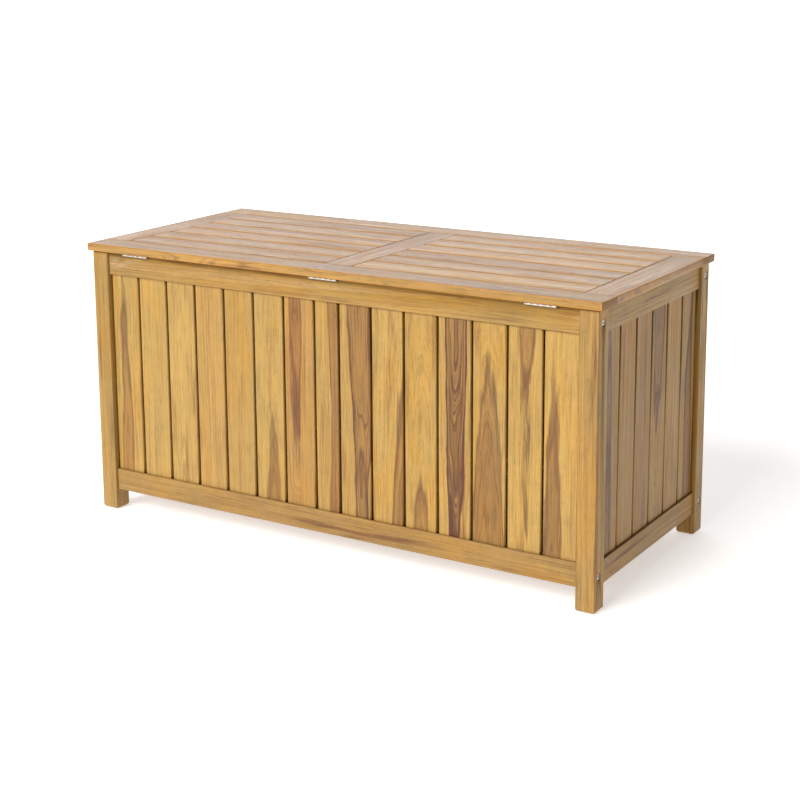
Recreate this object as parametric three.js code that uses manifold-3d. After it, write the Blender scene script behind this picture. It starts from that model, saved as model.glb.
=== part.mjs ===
// Slatted hardwood storage box for a deck: a frame of posts and rails with slatted sides, a slatted
// floor, and a lid that swings up on three butt hinges. Millimetres. X runs along the box, Y across it
// with the hinges on the -Y side, and Z is up from the ground. The origin is under the middle of the lid.
import * as THREE from 'three';
import { mergeVertices } from 'three/addons/utils/BufferGeometryUtils.js';
import Module from 'manifold-3d';

const wasm = await Module();
wasm.setup();

// Overall sizes
const boxLength = 1184; // over the posts
const boxDepth = 528; // over the posts
const overallHeight = 590; // ground to the lid's top face
const lidOverhang = 8; // past the posts, all round

// Posts and rails
const postSize = 40; // square
const footChamfer = 4;
const groundClearance = 45; // under the bottom rails
const railHeight = 48;
const railThickness = 24;
const railInset = 5; // posts stand proud of the rails by this much
const tenonThickness = 10; // on the end rails
const tenonHeight = 30;
const tenonWall = 4; // wood left between a tenon and the bolt hole beside it

// Side slats
const slatThickness = 7;
const slatInset = 5; // behind the rails' outer faces
const slatGap = 4;
const slatEndGap = 2; // beside the posts
const longSideSlats = 15;
const endSideSlats = 6;
const fillerSlatWidth = 54; // the middle slat of a long side is ripped to fit
const grooveDepth = 10; // in the rails, for the slats' ends
const stripHeight = 4; // the strip in the groove that keeps the slats apart
const stripInset = 0.5; // inside the slats' faces and ends

// Floor
const floorBoards = 6;
const floorBoardThickness = 9;
const floorBoardGap = 7;
const floorDrop = 5; // the floor's top face below the bottom rails' top edges
const floorEdgeGap = 3; // round the floor, to the posts and the end rails
const bearerWidth = 24;
const bearerHeight = 30;
const bearerToPost = 6;

// Lid
const lidThickness = 16;
const lidGap = 2; // between the lid and the rails
const lidMemberWidth = 64; // rails and stiles
const lidSlatsPerBay = 6;
const lidSlatGap = 3; // beside the slats
const lidSlatEndGap = 1.5; // between a slat's shoulder and the stile
const lidTongueThickness = 6; // slat tongues and stile tenons
const lidTongueInset = 8; // how far a slat's tongue goes into its stile
const lidTongueShoulder = 2.5; // on both edges of a tongue
const lidTenonLength = 22;
const lidTenonShoulder = 8; // the tenon's set-in from each edge of the stile

// Hinges
const hingeLength = 63.5;
const hingeFromEnd = 117; // hinge centre to the outer face of the end posts
const hingeReach = 22; // pin axis to the leaf's far edge
const leafThickness = 1.5;
const knuckleRadius = 2.5;
const knuckleCount = 5;
const knuckleGap = 0.3;
const pinRadius = 1.5;
const pinClearance = 0.1;
const pinHeadRadius = 2.1;
const pinHeadHeight = 0.9;
const pinChamfer = 0.5;
const hingeOutset = 1; // pin axis outside the posts' outer face
const mortiseEndRoom = 2.5; // past each end of a hinge
const screwHoleRadius = 2.2;
const screwsPerLeaf = 3;
const screwPitch = 22;

// Bolts that draw the long rails to the posts
const boltRadius = 3;
const boltLength = 70; // under the head
const boltHeadRadius = 6;
const boltHeadHeight = 6;
const boltChamfer = 0.6;
const boltHeadRecess = 1; // the head's top below the post's face
const counterboreRadius = 7.8;
const boltHoleRadius = 3.5;
const boltTipRoom = 3;
const socketAcrossFlats = 5;
const socketDepth = 3;

// Clearances between pieces that meet
const fit = 0.3;

const roundSegments = 24;
const overlap = 1; // how far two joined blocks of one piece run into each other

// Levels and lines that several pieces share
const halfLength = boxLength / 2;
const halfDepth = boxDepth / 2;
const lidBase = overallHeight - lidThickness;
const railTop = lidBase - lidGap;
const topRailMiddle = railTop - railHeight / 2;
const bottomRailMiddle = groundClearance + railHeight / 2;
const railLine = railInset + railThickness / 2; // a post's outer face to the rails' centreline
const longSpan = boxLength - 2 * postSize;
const endSpan = boxDepth - 2 * postSize;
const tenonLength = postSize - railLine - boltHoleRadius - tenonWall;
const counterboreDepth = boltHeadHeight + boltHeadRecess + fit;
const boltInRail = boltLength - (postSize - counterboreDepth);
const hingeX = halfLength - hingeFromEnd;
const hingeY = -halfDepth - hingeOutset;
const hingeZ = lidBase - fit - knuckleRadius;

// ---------------------------------------------------------------- solids

function solid(geometry) {
  const bare = geometry.index ? geometry.toNonIndexed() : geometry.clone();
  bare.deleteAttribute('normal');
  bare.deleteAttribute('uv');
  const merged = mergeVertices(bare, 1e-4);
  const mesh = new wasm.Mesh({
    numProp: 3,
    vertProperties: new Float32Array(merged.attributes.position.array),
    triVerts: new Uint32Array(merged.index.array),
  });
  return new wasm.Manifold(mesh);
}

function geometryOf(shape) {
  const mesh = shape.getMesh();
  const geometry = new THREE.BufferGeometry();
  geometry.setAttribute('position', new THREE.BufferAttribute(new Float32Array(mesh.vertProperties), 3));
  geometry.setIndex(new THREE.BufferAttribute(new Uint32Array(mesh.triVerts), 1));
  const flat = geometry.toNonIndexed();
  flat.computeVertexNormals();
  return flat;
}

function block(sizeX, sizeY, sizeZ, x = 0, y = 0, z = 0) {
  return new THREE.BoxGeometry(sizeX, sizeY, sizeZ).translate(x, y, z);
}

// A round bar along X, from one x to another.
function barAlongX(radius, fromX, toX, y = 0, z = 0, segments = roundSegments) {
  const bar = new THREE.CylinderGeometry(radius, radius, toX - fromX, segments);
  return bar.rotateZ(Math.PI / 2).translate((fromX + toX) / 2, y, z);
}

function joined(geometries) {
  return geometries.map(solid).reduce((whole, next) => whole.add(next));
}

function cut(body, cutters) {
  return cutters.map(solid).reduce((rest, next) => rest.subtract(next), body);
}

// ---------------------------------------------------------------- finishes

const finishes = {
  body: new THREE.MeshStandardMaterial({ color: 0xc39a60, roughness: 0.55, metalness: 0 }),
  lid: new THREE.MeshStandardMaterial({ color: 0xc9ab88, roughness: 0.45, metalness: 0 }),
  floor: new THREE.MeshStandardMaterial({ color: 0xb58d5a, roughness: 0.65, metalness: 0 }),
  hinge: new THREE.MeshStandardMaterial({ color: 0xc9c6b8, roughness: 0.35, metalness: 0.9 }),
  bolt: new THREE.MeshStandardMaterial({ color: 0xb9bcb8, roughness: 0.3, metalness: 0.95 }),
};

const box = new THREE.Group();

function piece(name, geometry, finish, parent, x = 0, y = 0, z = 0) {
  const mesh = new THREE.Mesh(geometry, finishes[finish]);
  mesh.name = name;
  mesh.position.set(x, y, z);
  parent.add(mesh);
  return mesh;
}

// ---------------------------------------------------------------- posts

// sideX and sideY are -1 or 1: which corner of the box the post stands in.
function postGeometry(sideX, sideY) {
  const shaftHeight = railTop - footChamfer;
  const shaft = block(postSize, postSize, shaftHeight, 0, 0, footChamfer + shaftHeight / 2);
  const topCorner = postSize / Math.SQRT2;
  const footCorner = (postSize - 2 * footChamfer) / Math.SQRT2;
  const foot = new THREE.CylinderGeometry(topCorner, footCorner, footChamfer, 4);
  foot.rotateY(Math.PI / 4).rotateX(Math.PI / 2).translate(0, 0, footChamfer / 2);
  const outerX = sideX * postSize / 2;
  const boltY = sideY * (postSize / 2 - railLine);
  const tenonX = sideX * (postSize / 2 - railLine);
  const innerY = -sideY * postSize / 2;
  const cutters = [];
  for (const level of [topRailMiddle, bottomRailMiddle]) {
    cutters.push(barAlongX(boltHoleRadius, -postSize, postSize, boltY, level));
    const reach = [outerX - sideX * counterboreDepth, outerX + sideX * postSize].sort((a, b) => a - b);
    cutters.push(barAlongX(counterboreRadius, reach[0], reach[1], boltY, level));
    const pocket = 2 * (tenonLength + fit);
    cutters.push(block(tenonThickness + 2 * fit, pocket, tenonHeight + 2 * fit, tenonX, innerY, level));
  }
  return geometryOf(cut(joined([shaft, foot]), cutters));
}

for (const [depthName, sideY] of [['back', -1], ['front', 1]]) {
  for (const [lengthName, sideX] of [['left', -1], ['right', 1]]) {
    const x = sideX * (halfLength - postSize / 2);
    const y = sideY * (halfDepth - postSize / 2);
    piece(`post_${depthName}_${lengthName}`, postGeometry(sideX, sideY), 'body', box, x, y);
  }
}

// ---------------------------------------------------------------- rails

// Rails lie along X with their outer face at -Y. grooveSide is 1 where the groove is in the top edge.
function railGeometry(span, grooveSide, { tenons = false, bolts = false, hinges = [] }) {
  const length = span - 2 * fit;
  const bodies = [block(length, railThickness, railHeight)];
  const cutters = [];
  const grooveY = slatInset + slatThickness / 2 - railThickness / 2;
  const grooveWidth = slatThickness + 2 * fit;
  cutters.push(block(2 * length, grooveWidth, 2 * grooveDepth, 0, grooveY, grooveSide * railHeight / 2));
  for (const end of [-1, 1]) {
    if (tenons) {
      const x = end * (length / 2 + fit + (tenonLength - fit - overlap) / 2);
      bodies.push(block(tenonLength + fit + overlap, tenonThickness, tenonHeight, x));
    }
    if (bolts) {
      const depth = boltInRail + boltTipRoom;
      const reach = [end * (length / 2 - depth), end * (length / 2 + depth)].sort((a, b) => a - b);
      cutters.push(barAlongX(boltHoleRadius, reach[0], reach[1]));
    }
  }
  const outerFace = -railThickness / 2;
  const mortiseDepth = railHeight / 2 - (hingeZ - knuckleRadius - fit - topRailMiddle);
  const mortiseReach = hingeReach - hingeOutset - railInset + 2 * fit;
  for (const x of hinges) {
    const room = hingeLength + 2 * mortiseEndRoom;
    cutters.push(block(room, 2 * mortiseReach, 2 * mortiseDepth, x, outerFace, railHeight / 2));
  }
  return geometryOf(cut(joined(bodies), cutters));
}

// ---------------------------------------------------------------- slatted panels

// Slat widths along one side. An odd long side has its filler slat in the middle.
function slatWidths(span, count, filler) {
  const free = span - (count - 1) * slatGap - 2 * slatEndGap;
  if (!filler) return Array(count).fill(free / count);
  const width = (free - filler) / (count - 1);
  return Array.from({ length: count }, (_, i) => (i === (count - 1) / 2 ? filler : width));
}

// The slats of one side with the strips that space them, hidden in the rails' grooves.
function slatPanelGeometry(span, widths) {
  const bottom = groundClearance + railHeight - grooveDepth + fit;
  const top = railTop - railHeight + grooveDepth - fit;
  const height = top - bottom;
  const stripLength = span - 2 * slatEndGap - widths[0];
  const stripThickness = slatThickness - 2 * stripInset;
  const bodies = [bottom + stripInset, top - stripInset - stripHeight].map((z) => block(
    stripLength,
    stripThickness,
    stripHeight,
    0,
    0,
    z + stripHeight / 2,
  ));
  let edge = -span / 2 + slatEndGap;
  for (const width of widths) {
    bodies.push(block(width, slatThickness, height, edge + width / 2, 0, bottom + height / 2));
    edge += width + slatGap;
  }
  return geometryOf(joined(bodies));
}

// One side of the box, built facing -Y and then turned to its place.
function addSide(name, turn, span, faceDistance, widths, railExtras) {
  const side = new THREE.Group();
  const railY = -faceDistance + railLine;
  const slatY = -faceDistance + railInset + slatInset + slatThickness / 2;
  const { hinges = [], ...joints } = railExtras;
  const topRail = railGeometry(span, -1, { ...joints, hinges });
  const bottomRail = railGeometry(span, 1, joints);
  piece(`${name}_top_rail`, topRail, 'body', side, 0, railY, topRailMiddle);
  piece(`${name}_bottom_rail`, bottomRail, 'body', side, 0, railY, bottomRailMiddle);
  piece(`${name}_slats`, slatPanelGeometry(span, widths), 'body', side, 0, slatY);
  side.rotation.z = turn;
  box.add(side);
}

const longWidths = slatWidths(longSpan, longSideSlats, fillerSlatWidth);
const endWidths = slatWidths(endSpan, endSideSlats, 0);
const hingeCentres = [-hingeX, 0, hingeX];
addSide('back', 0, longSpan, halfDepth, longWidths, { bolts: true, hinges: hingeCentres });
addSide('front', Math.PI, longSpan, halfDepth, longWidths, { bolts: true });
addSide('left', -Math.PI / 2, endSpan, halfLength, endWidths, { tenons: true });
addSide('right', Math.PI / 2, endSpan, halfLength, endWidths, { tenons: true });

// ---------------------------------------------------------------- bolts

// A socket-head bolt along X with its head at +X. The origin is the underside of the head.
function boltGeometry() {
  const profile = [
    new THREE.Vector2(0, -boltLength),
    new THREE.Vector2(boltRadius - boltChamfer, -boltLength),
    new THREE.Vector2(boltRadius, -boltLength + boltChamfer),
    new THREE.Vector2(boltRadius, 0),
    new THREE.Vector2(boltHeadRadius, 0),
    new THREE.Vector2(boltHeadRadius, boltHeadHeight - boltChamfer),
    new THREE.Vector2(boltHeadRadius - boltChamfer, boltHeadHeight),
    new THREE.Vector2(0, boltHeadHeight),
  ];
  const bolt = new THREE.LatheGeometry(profile, roundSegments).rotateZ(-Math.PI / 2);
  const socketRadius = socketAcrossFlats / Math.sqrt(3);
  const floor = boltHeadHeight - socketDepth;
  const socket = barAlongX(socketRadius, floor, floor + 2 * socketDepth, 0, 0, 6);
  return geometryOf(cut(solid(bolt), [socket]));
}

for (const [depthName, sideY] of [['back', -1], ['front', 1]]) {
  for (const [lengthName, sideX] of [['left', -1], ['right', 1]]) {
    for (const [levelName, z] of [['top', topRailMiddle], ['bottom', bottomRailMiddle]]) {
      const x = sideX * (halfLength - boltHeadRecess - boltHeadHeight);
      const y = sideY * (halfDepth - railLine);
      const boltName = `bolt_${depthName}_${lengthName}_${levelName}`;
      const bolt = piece(boltName, boltGeometry(), 'bolt', box, x, y, z);
      bolt.rotation.z = sideX > 0 ? 0 : Math.PI;
    }
  }
}

// ---------------------------------------------------------------- floor

const floorTop = groundClearance + railHeight - floorDrop;
const bearerTop = floorTop - floorBoardThickness - fit;
const bearerLength = boxDepth - 2 * (railInset + railThickness + fit);
const bearerX = longSpan / 2 - bearerToPost - bearerWidth / 2;
for (const [name, x] of [['left', -bearerX], ['middle', 0], ['right', bearerX]]) {
  const bearer = block(bearerWidth, bearerLength, bearerHeight);
  piece(`floor_bearer_${name}`, bearer, 'floor', box, x, 0, bearerTop - bearerHeight / 2);
}

const floorLength = boxLength - 2 * (railInset + railThickness + floorEdgeGap);
const floorWidth = endSpan - 2 * floorEdgeGap;
const floorBoardWidth = (floorWidth - (floorBoards - 1) * floorBoardGap) / floorBoards;
for (let i = 0; i < floorBoards; i += 1) {
  const y = -floorWidth / 2 + floorBoardWidth / 2 + i * (floorBoardWidth + floorBoardGap);
  const board = block(floorLength, floorBoardWidth, floorBoardThickness);
  piece(`floor_board_${i + 1}`, board, 'floor', box, 0, y, floorTop - floorBoardThickness / 2);
}

// ---------------------------------------------------------------- lid

const lid = new THREE.Group();
lid.position.set(0, 0, lidBase + lidThickness / 2);
box.add(lid);

const lidLength = boxLength + 2 * lidOverhang;
const lidDepth = boxDepth + 2 * lidOverhang;
const lidRailY = (lidDepth - lidMemberWidth) / 2;
const lidOpening = lidDepth - 2 * lidMemberWidth; // between the lid's rails
const lidStileX = (lidLength - lidMemberWidth) / 2;
const lidBay = lidStileX - lidMemberWidth; // between an end stile and the middle one
const lidTenonWidth = lidMemberWidth - 2 * lidTenonShoulder;

// side is the direction from the rail to the inside of the lid.
function lidRailGeometry(side) {
  const pockets = [-lidStileX, 0, lidStileX].map((x) => block(
    lidTenonWidth + 2 * fit,
    2 * (lidTenonLength + fit),
    lidTongueThickness + 2 * fit,
    x,
    side * lidMemberWidth / 2,
  ));
  return geometryOf(cut(solid(block(lidLength, lidMemberWidth, lidThickness)), pockets));
}

// grooveSides lists the edges, -1 or 1 along X, that take slat tongues.
function lidStileGeometry(grooveSides) {
  const shoulderLength = lidOpening - 2 * fit;
  const tenonSpan = lidOpening + 2 * lidTenonLength;
  const bodies = [
    block(lidMemberWidth, shoulderLength, lidThickness),
    block(lidTenonWidth, tenonSpan, lidTongueThickness),
  ];
  const grooveReach = 2 * (lidTongueInset + fit);
  const grooves = grooveSides.map((side) => block(
    grooveReach,
    shoulderLength - 2 * lidSlatGap,
    lidTongueThickness + 2 * fit,
    side * lidMemberWidth / 2,
  ));
  return geometryOf(cut(joined(bodies), grooves));
}

piece('lid_back_rail', lidRailGeometry(1), 'lid', lid, 0, -lidRailY);
piece('lid_front_rail', lidRailGeometry(-1), 'lid', lid, 0, lidRailY);
piece('lid_left_stile', lidStileGeometry([1]), 'lid', lid, -lidStileX);
piece('lid_middle_stile', lidStileGeometry([-1, 1]), 'lid', lid, 0);
piece('lid_right_stile', lidStileGeometry([-1]), 'lid', lid, lidStileX);

const lidSlatWidth = (lidOpening - (lidSlatsPerBay + 1) * lidSlatGap) / lidSlatsPerBay;
const lidSlatBody = lidBay - 2 * lidSlatEndGap;
const lidTongueWidth = lidSlatWidth - 2 * lidTongueShoulder;
for (const [bayName, side] of [['left', -1], ['right', 1]]) {
  for (let i = 0; i < lidSlatsPerBay; i += 1) {
    const slat = joined([
      block(lidSlatBody, lidSlatWidth, lidThickness),
      block(lidBay + 2 * lidTongueInset, lidTongueWidth, lidTongueThickness),
    ]);
    const x = side * (lidMemberWidth + lidBay) / 2;
    const y = -lidOpening / 2 + lidSlatGap + lidSlatWidth / 2 + i * (lidSlatWidth + lidSlatGap);
    piece(`lid_slat_${bayName}_${i + 1}`, geometryOf(slat), 'lid', lid, x, y);
  }
}

// ---------------------------------------------------------------- hinges

// A leaf with its knuckles, closed, about a pin along X. up is 1 for the lid's leaf and -1 for the box's.
// The knuckles alternate, and the box's leaf has the two end ones.
function leafGeometry(up) {
  const plateStart = knuckleRadius + fit;
  const plateDepth = hingeReach - plateStart;
  const plateZ = up * (knuckleRadius - leafThickness / 2);
  const bodies = [block(hingeLength, plateDepth, leafThickness, 0, plateStart + plateDepth / 2, plateZ)];
  const cutters = [barAlongX(pinRadius + pinClearance, -hingeLength, hingeLength)];
  const pitch = hingeLength / knuckleCount;
  for (let i = up > 0 ? 1 : 0; i < knuckleCount; i += 2) {
    const middle = (i + 0.5) * pitch - hingeLength / 2;
    const half = (pitch - knuckleGap) / 2;
    bodies.push(barAlongX(knuckleRadius, middle - half, middle + half));
    const tabDepth = plateStart + overlap;
    bodies.push(block(2 * half, tabDepth, leafThickness, middle, tabDepth / 2, plateZ));
  }
  for (let i = 0; i < screwsPerLeaf; i += 1) {
    const x = (i - (screwsPerLeaf - 1) / 2) * screwPitch;
    const hole = new THREE.CylinderGeometry(
      screwHoleRadius, screwHoleRadius, 4 * leafThickness, roundSegments / 2,
    );
    cutters.push(hole.rotateX(Math.PI / 2).translate(x, plateStart + plateDepth / 2, plateZ));
  }
  return geometryOf(cut(joined(bodies), cutters));
}

// The pin, with a low head past each end knuckle.
function pinGeometry() {
  const end = hingeLength / 2 + fit;
  const profile = [
    new THREE.Vector2(0, -end - pinHeadHeight),
    new THREE.Vector2(pinHeadRadius - pinChamfer, -end - pinHeadHeight),
    new THREE.Vector2(pinHeadRadius, -end),
    new THREE.Vector2(pinRadius, -end),
    new THREE.Vector2(pinRadius, end),
    new THREE.Vector2(pinHeadRadius, end),
    new THREE.Vector2(pinHeadRadius - pinChamfer, end + pinHeadHeight),
    new THREE.Vector2(0, end + pinHeadHeight),
  ];
  return geometryOf(solid(new THREE.LatheGeometry(profile, roundSegments).rotateZ(-Math.PI / 2)));
}

['left', 'middle', 'right'].forEach((name, i) => {
  const hinge = new THREE.Group();
  hinge.position.set(hingeCentres[i], hingeY, hingeZ);
  piece(`hinge_${name}_lid_leaf`, leafGeometry(1), 'hinge', hinge);
  piece(`hinge_${name}_box_leaf`, leafGeometry(-1), 'hinge', hinge);
  piece(`hinge_${name}_pin`, pinGeometry(), 'hinge', hinge);
  box.add(hinge);
});

export default box;
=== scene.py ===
"""A slatted hardwood storage box for a deck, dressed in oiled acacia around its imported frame."""
import itertools
import math
import random
from collections import namedtuple

import bmesh
import bpy
from mathutils import Matrix, Vector


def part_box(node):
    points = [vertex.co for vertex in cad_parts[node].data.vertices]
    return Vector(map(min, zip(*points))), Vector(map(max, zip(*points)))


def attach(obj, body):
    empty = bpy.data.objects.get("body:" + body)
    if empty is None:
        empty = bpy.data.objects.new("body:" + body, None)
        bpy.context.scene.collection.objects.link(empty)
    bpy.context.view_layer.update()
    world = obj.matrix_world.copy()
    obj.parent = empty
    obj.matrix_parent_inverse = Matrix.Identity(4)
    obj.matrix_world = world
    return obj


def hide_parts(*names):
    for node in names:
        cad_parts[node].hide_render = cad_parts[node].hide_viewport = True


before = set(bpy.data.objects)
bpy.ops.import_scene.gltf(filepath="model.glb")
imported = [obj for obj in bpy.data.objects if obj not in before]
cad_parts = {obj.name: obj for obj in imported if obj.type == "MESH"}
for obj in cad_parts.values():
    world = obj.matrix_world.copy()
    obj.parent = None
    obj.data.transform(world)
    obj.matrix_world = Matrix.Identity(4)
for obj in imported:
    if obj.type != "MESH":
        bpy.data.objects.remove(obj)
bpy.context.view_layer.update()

MM = 0.001
X, Y, Z = Vector((1, 0, 0)), Vector((0, 1, 0)), Vector((0, 0, 1))

# How the sides, the lid's bays and the floor are divided, as the joiner cuts them
LONG_SIDE_SLATS = 15
END_SIDE_SLATS = 6
LID_BAY_SLATS = 6
FLOOR_BOARDS = 6
SLAT_GAP = 4 * MM
FILLER_WIDTH = 54 * MM

# How far each kind of board's edges are eased
SLAT_EASE = 2.6 * MM
RAIL_EASE = 1.6 * MM
POST_EASE = 2.2 * MM
LID_EASE = 1.4 * MM
LID_SLAT_EASE = 2.8 * MM
FLOOR_EASE = 1.0 * MM

# The shortest edges that are eased: shorter ones belong to holes, tongues and grooves
BOARD_EDGE = 20 * MM
RAIL_EDGE = 60 * MM
LID_RAIL_EDGE = 10 * MM
LID_SLAT_EDGE = 100 * MM

# Small parts
LEAF_EASE = 0.25 * MM
BOLT_EASE = 0.4 * MM
SCREW_PITCH = 22 * MM
SCREW_FROM_EDGE = 9.6 * MM
SCREW_HEAD_RADIUS = 2.1 * MM
SCREW_HEAD_HEIGHT = 1.4 * MM
SCREW_RIM = 0.2 * MM
CROSS_REACH = 1.3 * MM
CROSS_HALF_WIDTH = 0.32 * MM
CROSS_DEPTH = 0.6 * MM
NUT_RADIUS = 4 * MM
NUT_STAND = 0.6 * MM
NUT_RIM = 0.25 * MM
NUT_FROM_TIP = 2.5 * MM
SLOT_HALF_WIDTH = 0.6 * MM
SLOT_REACH = 2.9 * MM
SLOT_DEPTH = NUT_STAND * 0.7
PAD_RADIUS = 8 * MM
PAD_HEIGHT = 1.8 * MM
PAD_RIM = 0.5 * MM

# How much further a box leaf's screw is turned than the lid leaf's screw over it, in radians
BOX_SCREW_TURN = 0.7

# How meshes are read: points closer than this are one point, points this near to a box lie on its outline,
# faces within this angle are one flat face, facets smaller than this belong to holes and rods, and corners
# sharper than these angles stay sharp or are eased
TOUCHING = 0.01 * MM
OUTLINE_SLACK = 0.05 * MM
FLAT_WITHIN = math.radians(1)
SMALL_FACET = 60 * MM * MM
SHARP_CORNER = math.radians(38)
BOARD_CORNER = math.radians(40)
METAL_CORNER = math.radians(60)

# How far apart along one endless trunk the boards are sawn, in metres, so that no two are alike
TRUNK_STEP = 7.3


# ---------------------------------------------------------------- camera, floor and light

def place_camera():
    azimuth, elevation, roll = math.radians(31.6), math.radians(11.5), math.radians(-0.34)
    distance, aim = 3.449, Vector((0.011, 0.007, 0.522))
    back = Vector((
        math.sin(azimuth) * math.cos(elevation),
        -math.cos(azimuth) * math.cos(elevation),
        math.sin(elevation),
    ))
    level = Z.cross(back).normalized()
    up = back.cross(level)
    right = level * math.cos(roll) + up * math.sin(roll)
    data = bpy.data.cameras.new("view")
    data.lens = 74.24
    data.shift_y = -0.15
    data.clip_end = 100
    camera = bpy.data.objects.new("view", data)
    turned = Matrix((right, back.cross(right), back)).transposed()
    camera.matrix_world = Matrix.Translation(aim + back * distance) @ turned.to_4x4()
    bpy.context.scene.collection.objects.link(camera)
    bpy.context.scene.camera = camera


def aimed(name, data, place, aim):
    """Stands a light at its place, shining towards its aim."""
    light = bpy.data.objects.new(name, data)
    light.location = place
    light.rotation_mode = "QUATERNION"
    light.rotation_quaternion = (Vector(place) - Vector(aim)).to_track_quat("Z", "Y")
    bpy.context.scene.collection.objects.link(light)


def light_studio():
    bpy.context.scene.view_settings.view_transform = "Standard"
    world = bpy.data.worlds.new("studio")
    bpy.context.scene.world = world
    world.use_nodes = True
    sky = world.node_tree.nodes["Background"]
    sky.inputs["Color"].default_value = (1.0, 0.975, 0.945, 1)
    sky.inputs["Strength"].default_value = 0.21

    key = bpy.data.lights.new("key", "SUN")
    key.angle = math.radians(36)
    key.energy = 3.02
    key.color = (1, 0.985, 0.96)
    aimed("key", key, (-1.3, -4.9, 3.2), (0, 0, 0))

    # A tall white screen behind, which gives the lid its sheen
    screen = bpy.data.lights.new("screen", "AREA")
    screen.shape = "RECTANGLE"
    screen.size, screen.size_y = 7.0, 3.2
    screen.energy = 150
    screen.color = (0.98, 0.955, 1.0)
    aimed("screen", screen, (-2.9, 4.9, 3.0), (0, 0, 0.6))


def lay_floor():
    bm = bmesh.new()
    bmesh.ops.create_grid(bm, x_segments=1, y_segments=1, size=60)
    floor = finished("floor", bm)
    paint = Paint("studio_floor")
    paint.shader({
        "Base Color": (0.95, 0.95, 0.95, 1), "Roughness": 0.9,
        "Emission Color": (1, 1, 1, 1), "Emission Strength": 0.50,
    })
    floor.data.materials.append(paint.material)


# ---------------------------------------------------------------- shader sums

class Number:
    """A shader socket that carries a number and can be used in sums."""

    def __init__(self, paint, socket):
        self.paint = paint
        self.socket = socket

    def __add__(self, other):
        return self.paint.maths("ADD", self, other)

    def __sub__(self, other):
        return self.paint.maths("SUBTRACT", self, other)

    def __rsub__(self, other):
        return self.paint.maths("SUBTRACT", other, self)

    def __mul__(self, other):
        return self.paint.maths("MULTIPLY", self, other)

    def __pow__(self, other):
        return self.paint.maths("POWER", self, other)

    __radd__ = __add__
    __rmul__ = __mul__


class Paint:
    """A procedural material under construction."""

    def __init__(self, name):
        self.material = bpy.data.materials.new(name)
        self.material.use_nodes = True
        self.tree = self.material.node_tree
        self.tree.nodes.clear()

    def add(self, kind, settings=None, values=None):
        """A node of this kind, with its settings made first and then its sockets filled or linked."""
        node = self.tree.nodes.new("ShaderNode" + kind)
        for name, setting in (settings or {}).items():
            setattr(node, name, setting)
        for name, value in (values or {}).items():
            self.fill(node.inputs[name], value)
        return node

    def fill(self, socket, value):
        source = value.socket if isinstance(value, Number) else value
        if isinstance(source, bpy.types.NodeSocket):
            self.tree.links.new(source, socket)
        else:
            socket.default_value = source

    def maths(self, operation, *values):
        node = self.add("Math", {"operation": operation}, dict(enumerate(values)))
        return Number(self, node.outputs[0])

    def step(self, value, low, high):
        """0 below low, 1 above high and a smooth rise between."""
        settings = {"interpolation_type": "SMOOTHSTEP"}
        values = {"Value": value, "From Min": low, "From Max": high, "To Min": 0.0, "To Max": 1.0}
        return Number(self, self.add("MapRange", settings, values).outputs["Result"])

    def mix(self, factor, first, second):
        """A colour between two, by the Mix node's sockets for colours: 6, 7 and its output 2."""
        node = self.add("Mix", {"data_type": "RGBA"}, {0: factor, 6: first, 7: second})
        return node.outputs[2]

    def attribute(self, name):
        node = self.add("Attribute", {"attribute_type": "GEOMETRY", "attribute_name": name})
        return node.outputs["Vector"]

    def split(self, vector):
        node = self.add("SeparateXYZ", None, {"Vector": vector})
        return [Number(self, output) for output in node.outputs]

    def vector(self, x, y, z):
        return self.add("CombineXYZ", None, {"X": x, "Y": y, "Z": z}).outputs["Vector"]

    def stretched(self, vector, x, y, z):
        node = self.add("VectorMath", {"operation": "MULTIPLY"}, {0: vector, 1: (x, y, z)})
        return node.outputs["Vector"]

    def noise(self, vector, scale, detail=2.0, roughness=0.5):
        values = {"Vector": vector, "Scale": scale, "Detail": detail, "Roughness": roughness}
        return Number(self, self.add("TexNoise", None, values).outputs[0])

    def bump(self, height, distance):
        node = self.add("Bump", None, {"Distance": distance, "Height": height})
        return node.outputs["Normal"]

    def shader(self, values):
        shader = self.add("BsdfPrincipled", None, values)
        self.add("OutputMaterial", None, {"Surface": shader.outputs["BSDF"]})


def tone(red, green, blue):
    """A colour given as a painter reads it, 0 to 255, turned into light."""
    def linear(value):
        share = value / 255
        return share / 12.92 if share <= 0.04045 else ((share + 0.055) / 1.055) ** 2.4
    return (linear(red), linear(green), linear(blue), 1.0)


# ---------------------------------------------------------------- materials

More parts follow.
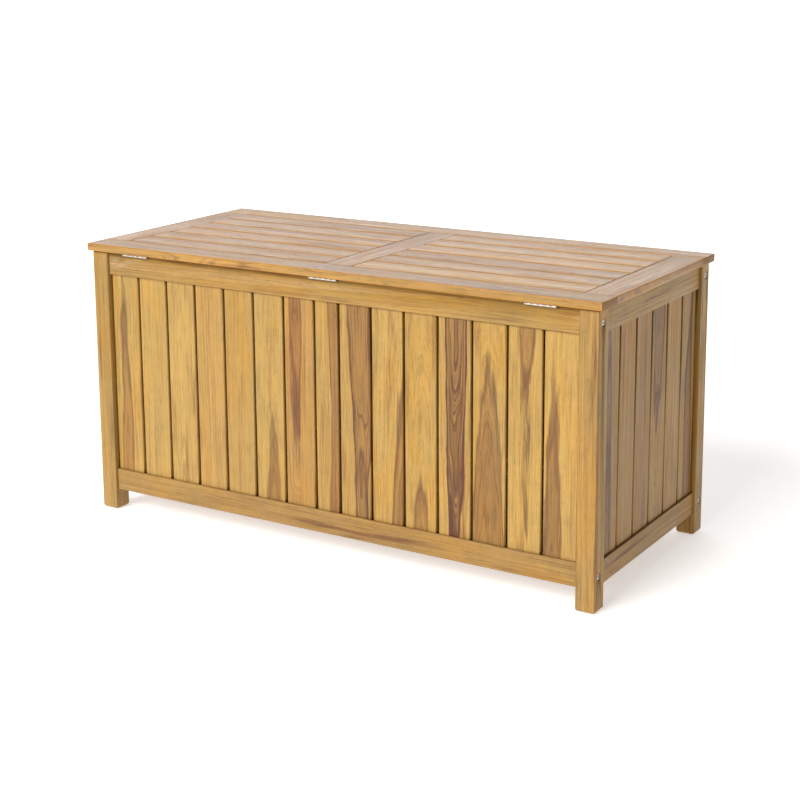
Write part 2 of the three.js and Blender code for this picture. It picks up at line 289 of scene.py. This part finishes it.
def oiled_acacia(name, pale, golden, heart, streak, roughness, corner, edge_shading_share):
    """Oiled acacia. Each board carries where it was sawn from the trunk, and how strongly it is marked.

    corner is a colour painted along the board's corners as edge shading, for the deeper, more saturated
    look their rounding has under this light with less white sheen, and the argument after it says how much
    of it shows.
    """
    paint = Paint(name)
    trunk = paint.attribute("trunk")
    along, across, deep = paint.split(trunk)
    heart_radius, marking, warmth = paint.split(paint.attribute("cut"))
    shade, end_grain, paleness = paint.split(paint.attribute("look"))

    # The rings wander a little along the trunk
    wander = paint.noise(paint.stretched(trunk, 3.2, 18, 18), 1.0, 2.0) - 0.5
    sway = paint.noise(paint.stretched(trunk, 4.1, 23, 23), 1.0, 2.0) - 0.5
    side = across + wander * 0.022
    depth = deep + sway * 0.014
    radius = (side * side + depth * depth) ** 0.5

    # Rings of uneven strength, in three widths
    fine_rings = paint.noise(paint.vector(radius * 420, along * 2.0, 3.7), 1.0, 2.0, 0.6)
    rings = paint.noise(paint.vector(radius * 150, along * 1.1, 5.1), 1.0, 3.0, 0.62)
    broad = paint.noise(paint.vector(radius * 52, along * 0.8, 9.1), 1.0, 2.0)
    lines = paint.step(rings, 0.46, 0.70)
    ring_lines = 1 - paint.step(paint.maths("ABSOLUTE", paint.maths("FRACT", rings * 5) - 0.5), 0.0, 0.13)

    # Heartwood inside, with a darker line where it meets the sapwood
    ragged = paint.noise(paint.stretched(trunk, 11, 130, 130), 1.0, 3.0) - 0.5
    past_heart = radius - heart_radius + ragged * 0.007
    in_heart = 1 - paint.step(past_heart, -0.0030, 0.0018)
    heart_line = 1 - paint.step(paint.maths("ABSOLUTE", past_heart + 0.0008), 0.0002, 0.0024)
    inner = paint.step(paint.noise(paint.vector(radius * 330, along * 1.7, 1.3), 1.0, 2.0), 0.45, 0.66)

    # Fibres, pores, clouds and the rippled figure across the grain
    fibres = paint.noise(paint.stretched(trunk, 4.5, 330, 330), 1.0, 3.0, 0.62)
    pores = paint.step(paint.noise(paint.stretched(trunk, 55, 1300, 1300), 1.0, 1.0), 0.64, 0.74)
    ripple = paint.noise(paint.stretched(trunk, 42, 26, 26), 1.0, 3.0, 0.55)
    cloud = paint.noise(paint.stretched(trunk, 5.5, 24, 24), 1.0, 3.0, 0.55)
    stain = paint.step(paint.noise(paint.stretched(trunk, 3.0, 52, 52), 1.0, 3.0, 0.6), 0.54, 0.72)

    # Board corners: a little paler, with a deeper colour painted along them as edge shading, for the more
    # saturated look their rounding has under this light. The second smallest of the distances from the
    # board's three pairs of faces is small along the corners only.
    place = paint.add("VectorMath", {"operation": "ABSOLUTE"}, {0: paint.attribute("spot")})
    from_face = paint.add(
        "VectorMath", {"operation": "SUBTRACT"}, {0: paint.attribute("half"), 1: place.outputs[0]}
    )
    gap_x, gap_y, gap_z = paint.split(from_face.outputs[0])
    small = paint.maths("MINIMUM", gap_x, gap_y)
    large = paint.maths("MAXIMUM", gap_x, gap_y)
    from_corner = paint.maths("MAXIMUM", small, paint.maths("MINIMUM", large, gap_z))
    # The corners are made a little paler and a little glossier
    pale_corners = 1 - paint.step(from_corner + (ripple - 0.5) * 0.004, 0.0004, 0.0042)
    # Painted edge shading: the mask of the deeper colour along the corners
    edge_shading = 1 - paint.step(from_corner + (ripple - 0.5) * 0.0008, 0.0008, 0.0024)

    ground = paint.mix(paint.step(cloud, 0.35, 0.7) * (1 - paleness), pale, golden)
    ground = paint.mix(in_heart * (0.40 + broad * 0.5), ground, heart)
    ground = paint.mix(stain * marking * 0.8, ground, heart)
    ground = paint.mix(lines * marking * (0.20 + in_heart * 0.16), ground, streak)
    ground = paint.mix(ring_lines * marking * (0.30 + in_heart * 0.30), ground, streak)
    ground = paint.mix(inner * in_heart * marking * 0.30, ground, streak)
    ground = paint.mix(heart_line * marking * 0.75, ground, streak)
    ground = paint.mix(paint.step(fibres, 0.48, 0.80) * 0.42, ground, streak)
    ground = paint.mix(paint.step(fine_rings, 0.50, 0.80) * 0.24, ground, streak)
    ground = paint.mix(warmth, ground, tone(150, 84, 42))
    # The deeper colour along the corners is painted edge shading
    ground = paint.mix(edge_shading * edge_shading_share, ground, corner)
    ground = paint.mix(end_grain * 0.45, ground, tone(96, 68, 38))
    grey = (
        shade - (fibres - 0.5) * 0.24 + (ripple - 0.5) * 0.20 + (cloud - 0.5) * 0.66
        + pale_corners * 0.07 - pores * 0.14
    )
    value = paint.vector(grey, grey, grey)
    colour = paint.add("VectorMath", {"operation": "MULTIPLY"}, {0: ground, 1: value})

    rough = (
        roughness + (fibres - 0.5) * 0.34 + (cloud - 0.5) * 0.22 + lines * 0.10 + pores * 0.12
        + end_grain * 0.2 - pale_corners * 0.04
    )
    height = fibres * 0.6 + lines * 0.5 - pores * 1.2 + ripple * 0.5
    paint.shader({
        "Base Color": colour.outputs[0],
        "Roughness": rough,
        "Normal": paint.bump(height, 0.00025),
    })
    return paint.material


def zinc_plate(name, colour, roughness):
    """Bright plated steel with faint handling marks."""
    paint = Paint(name)
    spot = paint.add("TexCoord").outputs["Object"]
    cloud = paint.noise(spot, 240, 3.0)
    brushed = paint.noise(paint.stretched(spot, 300, 5200, 5200), 1.0, 2.0)
    dull = paint.step(paint.noise(spot, 900, 2.0), 0.55, 0.8)
    worn = paint.mix(cloud * 0.5, colour, tone(168, 160, 140))
    paint.shader({
        "Base Color": paint.mix(dull * 0.35, worn, tone(120, 114, 102)),
        "Metallic": 0.92,
        "Roughness": roughness + (brushed - 0.5) * 0.2 + dull * 0.15,
        "Normal": paint.bump(brushed * 0.4 + cloud * 0.6, 0.00006),
    })
    return paint.material


def moulded_pad(name):
    """Soft black moulded rubber with a fine grain."""
    paint = Paint(name)
    spot = paint.add("TexCoord").outputs["Object"]
    grain = paint.noise(spot, 2600, 2.0)
    dust = paint.step(paint.noise(spot, 420, 3.0), 0.5, 0.8)
    paint.shader({
        "Base Color": paint.mix(dust * 0.4, tone(38, 37, 36), tone(84, 80, 74)),
        "Roughness": 0.72 + (grain - 0.5) * 0.2,
        "Normal": paint.bump(grain, 0.00008),
    })
    return paint.material


# ---------------------------------------------------------------- meshes

def finished(name, bm):
    mesh = bpy.data.meshes.new(name)
    bm.to_mesh(mesh)
    bm.free()
    made = bpy.data.objects.new(name, mesh)
    bpy.context.scene.collection.objects.link(made)
    return made


def ease(bm, edges, width, segments=3):
    """Rounds these edges and shades the rounding smooth."""
    made = bmesh.ops.bevel(
        bm, geom=edges, offset=width, offset_type="OFFSET", segments=segments, profile=0.5,
        affect="EDGES", clamp_overlap=True, material=-1,
    )
    for face in made["faces"]:
        face.smooth = True


def block(low, high):
    """A plain box between two corners."""
    bm = bmesh.new()
    place = Matrix.Translation((low + high) / 2)
    bmesh.ops.create_cube(bm, size=1.0, matrix=place @ Matrix.Diagonal((*(high - low), 1)))
    return bm


def merged_copy(node):
    """A copy of a frame piece with its loose triangles joined into whole flat faces."""
    bm = bmesh.new()
    bm.from_mesh(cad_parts[node].data)
    bmesh.ops.remove_doubles(bm, verts=bm.verts, dist=TOUCHING)
    bmesh.ops.dissolve_limit(
        bm, angle_limit=FLAT_WITHIN, use_dissolve_boundaries=False, verts=bm.verts, edges=bm.edges
    )
    return bm


def smooth_rounds(mesh):
    """Shades the facets of holes and rods smooth and leaves every real corner sharp."""
    for polygon in mesh.polygons:
        polygon.use_smooth = polygon.use_smooth or polygon.area < SMALL_FACET
    mesh.set_sharp_from_angle(angle=SHARP_CORNER)


def is_corner(edge, angle):
    """Whether two faces meet here in an outward corner of more than this angle."""
    return edge.is_manifold and edge.is_convex and edge.calc_face_angle() > angle


def outer_edges(bm, low, high, shortest):
    """Convex corners on the piece's own outline that are long enough to be eased."""
    def on_outline(point):
        sides = sum(
            min(abs(point[i] - low[i]), abs(point[i] - high[i])) < OUTLINE_SLACK for i in range(3)
        )
        return sides >= 2
    return [
        e for e in bm.edges
        if is_corner(e, BOARD_CORNER) and e.calc_length() > shortest
        and on_outline(e.verts[0].co) and on_outline(e.verts[1].co)
    ]


# ---------------------------------------------------------------- boards

# Where a board was sawn: the pith's offset across the face and its depth behind it, in millimetres, how
# much it dives behind the face along the board, the heartwood's radius in millimetres, how strong the marks
# are, how warm, how light and how pale the wood is.
Cut = namedtuple("Cut", "across behind dive heart marking warmth shade paleness")


def any_cut(luck):
    """A board from anywhere in the trunk."""
    return Cut(
        across=luck.uniform(-30, 30),
        behind=luck.uniform(8, 40),
        dive=luck.choice((-1, 1)) * luck.uniform(0.008, 0.05),
        heart=luck.choice((0, 20, 28, 36)),
        marking=luck.uniform(0.4, 1.0),
        warmth=luck.uniform(0.0, 0.16),
        shade=luck.uniform(0.90, 1.06),
        paleness=luck.uniform(0.0, 0.6),
    )


def marked_cut(luck):
    """A strongly streaked board."""
    return any_cut(luck)._replace(
        behind=luck.uniform(17, 34), heart=luck.choice((0, 0, 20)), marking=luck.uniform(0.9, 1.4),
        shade=luck.uniform(0.84, 1.12), warmth=luck.uniform(0.0, 0.22),
    )


def straight_cut(luck):
    """A board sawn to one side of the pith, so that its grain runs straight."""
    return Cut(
        across=luck.choice((-1, 1)) * luck.uniform(60, 130),
        behind=luck.uniform(10, 60),
        dive=luck.uniform(-0.012, 0.012),
        heart=0,
        marking=luck.uniform(1.0, 1.6),
        warmth=luck.uniform(0.06, 0.18),
        shade=luck.uniform(0.82, 0.91),
        paleness=luck.uniform(0.0, 0.3),
    )


def lid_frame_cut(luck):
    return straight_cut(luck)._replace(warmth=luck.uniform(0.04, 0.14), marking=luck.uniform(1.1, 1.6))


def pale_frame_cut(luck):
    """A lid rail with sapwood along it."""
    return lid_frame_cut(luck)._replace(shade=luck.uniform(0.86, 0.93), paleness=luck.uniform(0.5, 0.8))


def grain(piece, along, face, cut, number):
    """Tells the wood finish how this board lies in the trunk it came from."""
    mesh = piece.data
    points = [v.co.copy() for v in mesh.vertices]
    low = Vector([min(p[i] for p in points) for i in range(3)])
    high = Vector([max(p[i] for p in points) for i in range(3)])
    centre, half = (low + high) / 2, (high - low) / 2
    wide = along.cross(face)
    behind = cut.behind * MM - abs(half.dot(face))
    trunk = mesh.attributes.new("trunk", "FLOAT_VECTOR", "POINT")
    spot = mesh.attributes.new("spot", "FLOAT_VECTOR", "POINT")
    for i, point in enumerate(points):
        p = point - centre
        u = p.dot(along)
        v = p.dot(wide) - cut.across * MM
        w = p.dot(face) + behind + cut.dive * u
        trunk.data[i].vector = (u + TRUNK_STEP * number, v, w)
        spot.data[i].vector = p
    for name, value in (("half", half), ("cut", (cut.heart * MM, cut.marking, cut.warmth))):
        layer = mesh.attributes.new(name, "FLOAT_VECTOR", "POINT")
        for i in range(len(points)):
            layer.data[i].vector = value
    look = mesh.attributes.new("look", "FLOAT_VECTOR", "FACE")
    for i, polygon in enumerate(mesh.polygons):
        ends = abs(polygon.normal.dot(along)) > 0.8
        look.data[i].vector = (cut.shade, 1.0 if ends else 0.0, cut.paleness)


WOODS = {}
METALS = {}
board_numbers = itertools.count(1)
luck = random.Random(29)


def dress(piece, wood, body, along, face, cut):
    """Gives a finished board its wood, its grain and the body it rides on."""
    grain(piece, along, face, cut, next(board_numbers))
    piece.data.materials.append(WOODS[wood])
    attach(piece, body)


def replace_board(node, wood, body, along, face, width, cut=any_cut, shortest=BOARD_EDGE):
    """Stands for a frame piece: the same shape with its corners eased, and grained."""
    low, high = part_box(node)
    bm = merged_copy(node)
    ease(bm, outer_edges(bm, low, high, shortest), width)
    piece = finished(node + "_wood", bm)
    smooth_rounds(piece.data)
    dress(piece, wood, body, along, face, cut(luck))
    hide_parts(node)


def is_upright(edge):
    return abs((edge.verts[1].co - edge.verts[0].co).normalized().z) > 0.9


def replace_slats(node, how_many, filler, across, face, cuts=()):
    """The separate slats of one side, between the strips that space them.

    filler is the width of the narrower slat in the middle, or 0 where all the slats are alike.
    """
    low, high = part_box(node)
    span = (high - low).dot(across)
    free = span - (how_many - 1) * SLAT_GAP
    width = (free - filler) / (how_many - 1) if filler else free / how_many
    start = low.copy()
    for i in range(how_many):
        own = filler if filler and i == (how_many - 1) // 2 else width
        end = high - across * high.dot(across) + across * (start.dot(across) + own)
        bm = block(start, end)
        ease(bm, [e for e in bm.edges if is_upright(e)], SLAT_EASE)
        slat = finished(f"{node[:-1]}_{i + 1:02d}", bm)
        dress(slat, "body_wood", "box", Z, face, cuts[i] if cuts else any_cut(luck))
        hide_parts(node)
        start = start + across * (own + SLAT_GAP)


# ---------------------------------------------------------------- the box and its lid

def make_finishes():
    # Each wood's corner colour, and the share after it, is painted edge shading along the rounded corners
    WOODS["body_wood"] = oiled_acacia(
        "body_wood", pale=tone(190, 153, 80), golden=tone(178, 133, 48), heart=tone(138, 94, 40),
        streak=tone(84, 46, 22), roughness=0.46, corner=tone(112, 70, 24), edge_shading_share=0.5,
    )
    WOODS["lid_wood"] = oiled_acacia(
        "lid_wood", pale=tone(206, 160, 82), golden=tone(188, 134, 48), heart=tone(140, 90, 42),
        streak=tone(80, 46, 32), roughness=0.37, corner=tone(192, 126, 10), edge_shading_share=0.8,
    )
    WOODS["floor_wood"] = oiled_acacia(
        "floor_wood", pale=tone(174, 140, 80), golden=tone(160, 120, 54), heart=tone(124, 86, 42),
        streak=tone(80, 50, 28), roughness=0.58, corner=tone(112, 70, 24), edge_shading_share=0.3,
    )
    METALS["hinge_steel"] = zinc_plate("hinge_steel", tone(224, 223, 220), 0.32)
    METALS["bolt_steel"] = zinc_plate("bolt_steel", tone(196, 198, 192), 0.30)


# The slats of the hinge side, from its left end, with a Cut's values in the order given above
BACK_SLAT_CUTS = [
    Cut(-6, 23, 0.018, 25, 0.65, 0.00, 1.00, 0.3),
    Cut(60, 20, 0.004, 0, 0.60, 0.00, 0.98, 0.5),
    Cut(-4, 24, 0.030, 0, 0.90, 0.00, 0.98, 0.9),
    Cut(-70, 20, 0.004, 0, 1.00, 0.14, 1.04, 0.6),
    Cut(4, 26, 0.014, 20, 0.60, 0.05, 0.96, 0.2),
    Cut(6, 24, 0.045, 22, 0.50, 0.00, 0.98, 0.3),
    Cut(-12, 27, -0.016, 27, 0.95, 0.20, 0.98, 0.3),
    Cut(34, 16, 0.004, 32, 0.80, 0.06, 1.00, 0.3),
    Cut(12, 24, -0.020, 31, 1.20, 0.06, 0.96, 0.6),
    Cut(34, 30, 0.045, 32, 0.75, 0.00, 1.00, 0.2),
    Cut(2, 29, 0.050, 25, 0.70, 0.00, 0.98, 0.3),
    Cut(3, 22, -0.034, 30, 1.50, 0.04, 0.98, 0.6),
    Cut(0, 36, 0.045, 42, 0.70, 0.00, 1.00, 0.2),
    Cut(2, 26, -0.020, 27, 0.80, 0.00, 1.00, 0.7),
    Cut(-14, 26, 0.020, 28, 0.75, 0.03, 1.04, 0.4),
]


# The slats of the right end, from the hinge side
# Their warmer, somewhat darker tones are partly painted shade, for the browner look of this end, which the
# key light does not reach
RIGHT_SLAT_CUTS = [
    Cut(-10, 26, 0.012, 29, 1.00, 0.16, 0.92, 0.1),
    Cut(60, 20, 0.004, 0, 0.90, 0.22, 0.96, 0.2),
    Cut(-60, 24, -0.004, 0, 1.10, 0.26, 0.92, 0.1),
    Cut(0, 40, -0.050, 40, 1.00, 0.14, 0.92, 0.2),
    Cut(70, 20, 0.004, 0, 1.10, 0.18, 0.98, 0.3),
    Cut(8, 24, 0.020, 27, 1.10, 0.12, 0.96, 0.4),
]


def build_sides():
    replace_slats("back_slats", LONG_SIDE_SLATS, FILLER_WIDTH, X, -Y, BACK_SLAT_CUTS)
    replace_slats("front_slats", LONG_SIDE_SLATS, FILLER_WIDTH, X, Y)
    replace_slats("left_slats", END_SIDE_SLATS, 0, Y, -X)
    replace_slats("right_slats", END_SIDE_SLATS, 0, Y, X, RIGHT_SLAT_CUTS)
    for side, along, face in (("back", X, -Y), ("front", X, Y), ("left", Y, -X), ("right", Y, X)):
        for level in ("top", "bottom"):
            node = f"{side}_{level}_rail"
            replace_board(node, "body_wood", "box", along, face, RAIL_EASE, straight_cut, RAIL_EDGE)
    for depth, face in (("back", -Y), ("front", Y)):
        for end in ("left", "right"):
            replace_board(f"post_{depth}_{end}", "body_wood", "box", Z, face, POST_EASE, straight_cut)


def build_floor():
    for place in ("left", "middle", "right"):
        replace_board(f"floor_bearer_{place}", "floor_wood", "box", Y, Z, FLOOR_EASE)
    for i in range(FLOOR_BOARDS):
        replace_board(f"floor_board_{i + 1}", "floor_wood", "box", X, Z, FLOOR_EASE)


def build_lid():
    for name in ("back", "front"):
        replace_board(f"lid_{name}_rail", "lid_wood", "lid", X, Z, LID_EASE, pale_frame_cut, LID_RAIL_EDGE)
    for name in ("left", "middle", "right"):
        replace_board(f"lid_{name}_stile", "lid_wood", "lid", Y, Z, LID_EASE, lid_frame_cut)
    for bay in ("left", "right"):
        for i in range(LID_BAY_SLATS):
            node = f"lid_slat_{bay}_{i + 1}"
            replace_board(node, "lid_wood", "lid", X, Z, LID_SLAT_EASE, marked_cut, LID_SLAT_EDGE)


# ---------------------------------------------------------------- hinges, bolts and pads

def add_metal(piece, slot, body):
    piece.data.materials.append(METALS[slot])
    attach(piece, body)


def replace_metal(node, slot, body, width):
    bm = merged_copy(node)
    ease(bm, [e for e in bm.edges if is_corner(e, METAL_CORNER)], width, 2)
    piece = finished(node + "_metal", bm)
    smooth_rounds(piece.data)
    add_metal(piece, slot, body)
    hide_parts(node)


def round_head(radius, height, rim, segments=32):
    """A low round head standing on the ground plane, its rim rounded."""
    bm = bmesh.new()
    bmesh.ops.create_circle(bm, cap_ends=True, radius=radius, segments=segments)
    raised = bmesh.ops.extrude_face_region(bm, geom=bm.faces[:])
    top = [g for g in raised["geom"] if isinstance(g, bmesh.types.BMVert)]
    bmesh.ops.translate(bm, vec=Z * height, verts=top)
    bmesh.ops.recalc_face_normals(bm, faces=bm.faces)
    crown = [e for e in bm.edges if all(abs(v.co.z - height) < TOUCHING for v in e.verts)]
    ease(bm, crown, rim, 3)
    return bm


def sink(bm, inside, depth):
    """Pushes the part of the top face that lies inside the given outline down into the head."""
    level = max(v.co.z for v in bm.verts) - TOUCHING
    low = [
        f for f in bm.faces
        if f.normal.z > 0.99 and f.calc_center_median().z > level and inside(f.calc_center_median())
    ]
    pushed = bmesh.ops.extrude_face_region(bm, geom=low)
    bmesh.ops.delete(bm, geom=low, context="FACES_ONLY")
    bottom = [g for g in pushed["geom"] if isinstance(g, bmesh.types.BMVert)]
    bmesh.ops.translate(bm, vec=-Z * depth, verts=bottom)


def score(bm, *cuts):
    """Divides a head along upright planes, each given as (distance from the axis, direction)."""
    for distance, direction in cuts:
        whole = bm.verts[:] + bm.edges[:] + bm.faces[:]
        bmesh.ops.bisect_plane(bm, geom=whole, plane_co=direction * distance, plane_no=direction)


def seat(bm, place, up, turn=0.0):
    """Sets a head made on the ground plane at its place, facing up and turned about its own axis."""
    pose = Matrix.Translation(place) @ up.to_track_quat("Z", "Y").to_matrix().to_4x4()
    bmesh.ops.transform(bm, matrix=pose @ Matrix.Rotation(turn, 4, "Z"), verts=bm.verts)


def cross_screw(name, place, up, turn):
    """A flat hinge screw with a cross recess, flush in its hole."""
    bm = round_head(SCREW_HEAD_RADIUS, SCREW_HEAD_HEIGHT, SCREW_RIM, 24)
    reach, half = CROSS_REACH, CROSS_HALF_WIDTH
    score(bm, *[(side * d, line) for line in (X, Y) for d in (reach, half) for side in (-1, 1)])
    sink(bm, lambda c: max(abs(c.x), abs(c.y)) < reach and min(abs(c.x), abs(c.y)) < half, CROSS_DEPTH)
    seat(bm, place, up, turn)
    screw = finished(name, bm)
    add_metal(screw, "hinge_steel", "lid" if up.z < 0 else "box")


def barrel_nut(name, place, up, turn):
    """The slotted end of the cross nut that a frame bolt screws into, seen on the inside of its rail."""
    bm = round_head(NUT_RADIUS, NUT_STAND, NUT_RIM)
    half, reach = SLOT_HALF_WIDTH, SLOT_REACH
    score(bm, (-half, X), (half, X), (-reach, Y), (reach, Y))
    sink(bm, lambda c: abs(c.x) < half and abs(c.y) < reach, SLOT_DEPTH)
    seat(bm, place, up, turn)
    add_metal(finished(name, bm), "bolt_steel", "box")


def build_hinges():
    for name in ("left", "middle", "right"):
        for part, body in (("lid_leaf", "lid"), ("box_leaf", "box"), ("pin", "box")):
            replace_metal(f"hinge_{name}_{part}", "hinge_steel", body, LEAF_EASE)
        low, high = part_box(f"hinge_{name}_lid_leaf")
        for i in range(3):
            spot = Vector(((low.x + high.x) / 2 + (i - 1) * SCREW_PITCH, high.y - SCREW_FROM_EDGE, 0))
            turn = luck.uniform(0, math.pi)
            cross_screw(f"lid_leaf_screw_{name}_{i + 1}", spot + Z * high.z, -Z, turn)
            cross_screw(f"box_leaf_screw_{name}_{i + 1}", spot + Z * low.z, Z, turn + BOX_SCREW_TURN)


def build_bolts():
    for depth, inward in (("back", Y), ("front", -Y)):
        for end, out in (("left", -1), ("right", 1)):
            for level in ("top", "bottom"):
                node = f"bolt_{depth}_{end}_{level}"
                replace_metal(node, "bolt_steel", "box", BOLT_EASE)
                low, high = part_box(node)
                tip = low.x if out > 0 else high.x
                rail_low, rail_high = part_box(f"{depth}_{level}_rail")
                inner = rail_high.y if inward.y > 0 else rail_low.y
                place = Vector((tip + out * NUT_FROM_TIP, inner, (low.z + high.z) / 2))
                barrel_nut(f"barrel_nut_{depth}_{end}_{level}", place, inward, luck.uniform(-0.3, 0.3))


def build_pads():
    """Two thin pads on the front posts, which the closed lid rests on."""
    pad = moulded_pad("pad_rubber")
    for end in ("left", "right"):
        low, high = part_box(f"post_front_{end}")
        bm = round_head(PAD_RADIUS, PAD_HEIGHT, PAD_RIM)
        seat(bm, Vector(((low.x + high.x) / 2, (low.y + high.y) / 2, high.z)), Z)
        piece = finished(f"lid_pad_{end}", bm)
        piece.data.materials.append(pad)
        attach(piece, "box")


place_camera()
light_studio()
lay_floor()
make_finishes()
build_sides()
build_floor()
build_lid()
build_hinges()
build_bolts()
build_pads()
